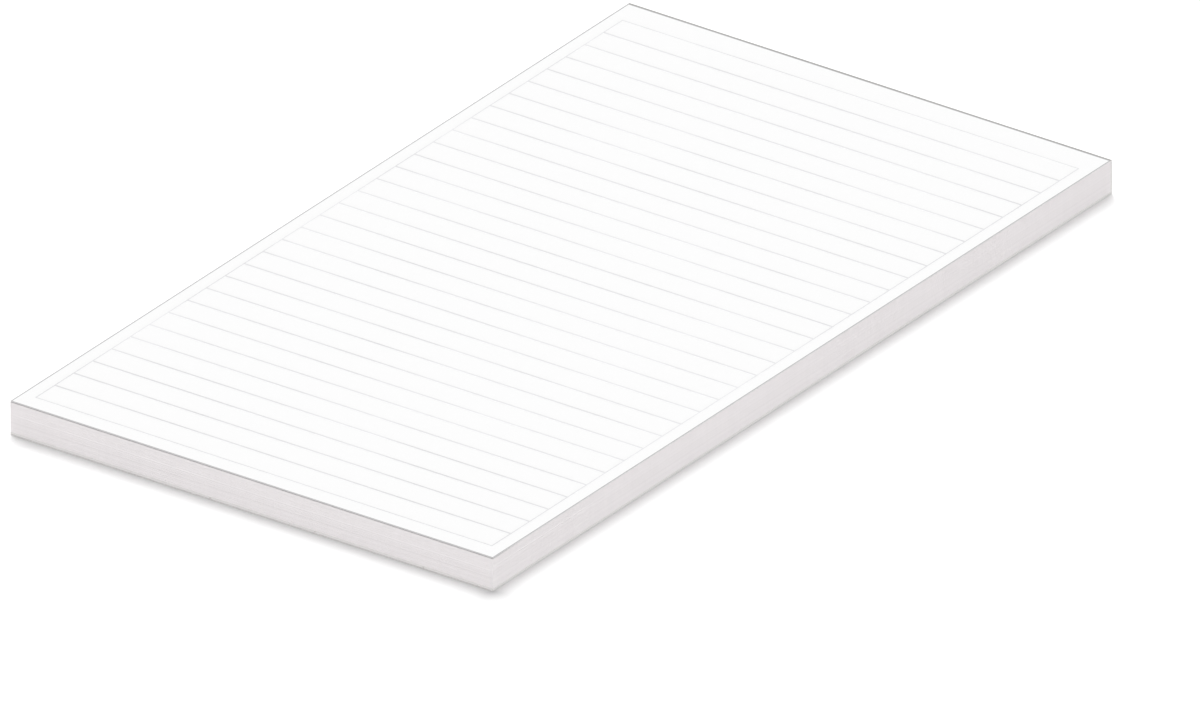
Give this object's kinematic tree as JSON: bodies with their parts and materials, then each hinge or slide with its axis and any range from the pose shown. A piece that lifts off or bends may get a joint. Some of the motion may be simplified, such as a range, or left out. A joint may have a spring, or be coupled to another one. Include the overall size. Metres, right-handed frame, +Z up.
{
  "type": "notepad",
  "caption": "Flat rectangular notepad of white sheets glued along one short edge on a board back, with a thin printed border and rulings for handwriting.",
  "frame": {"origin": "middle of the pad's outline, on the surface that it lies on", "axes": "+Z up out of the top sheet, +Y along the pad towards its glued head, +X to the writer's right"},
  "size_m": [0.127, 0.2291, 0.008],
  "materials": {
    "sheets": "uncoated white writing paper, cut edges",
    "board": "pale grey board with faint flecks of recycled fibre",
    "glue": "dried grey film with brush streaks, half gloss",
    "ink": "pale grey printing ink, matt"
  },
  "bodies": {
    "root": {"page_block": "sheets", "backing_board": "board", "glue_film": "glue", "printed_ruling": "ink"}
  },
  "joints": []
}
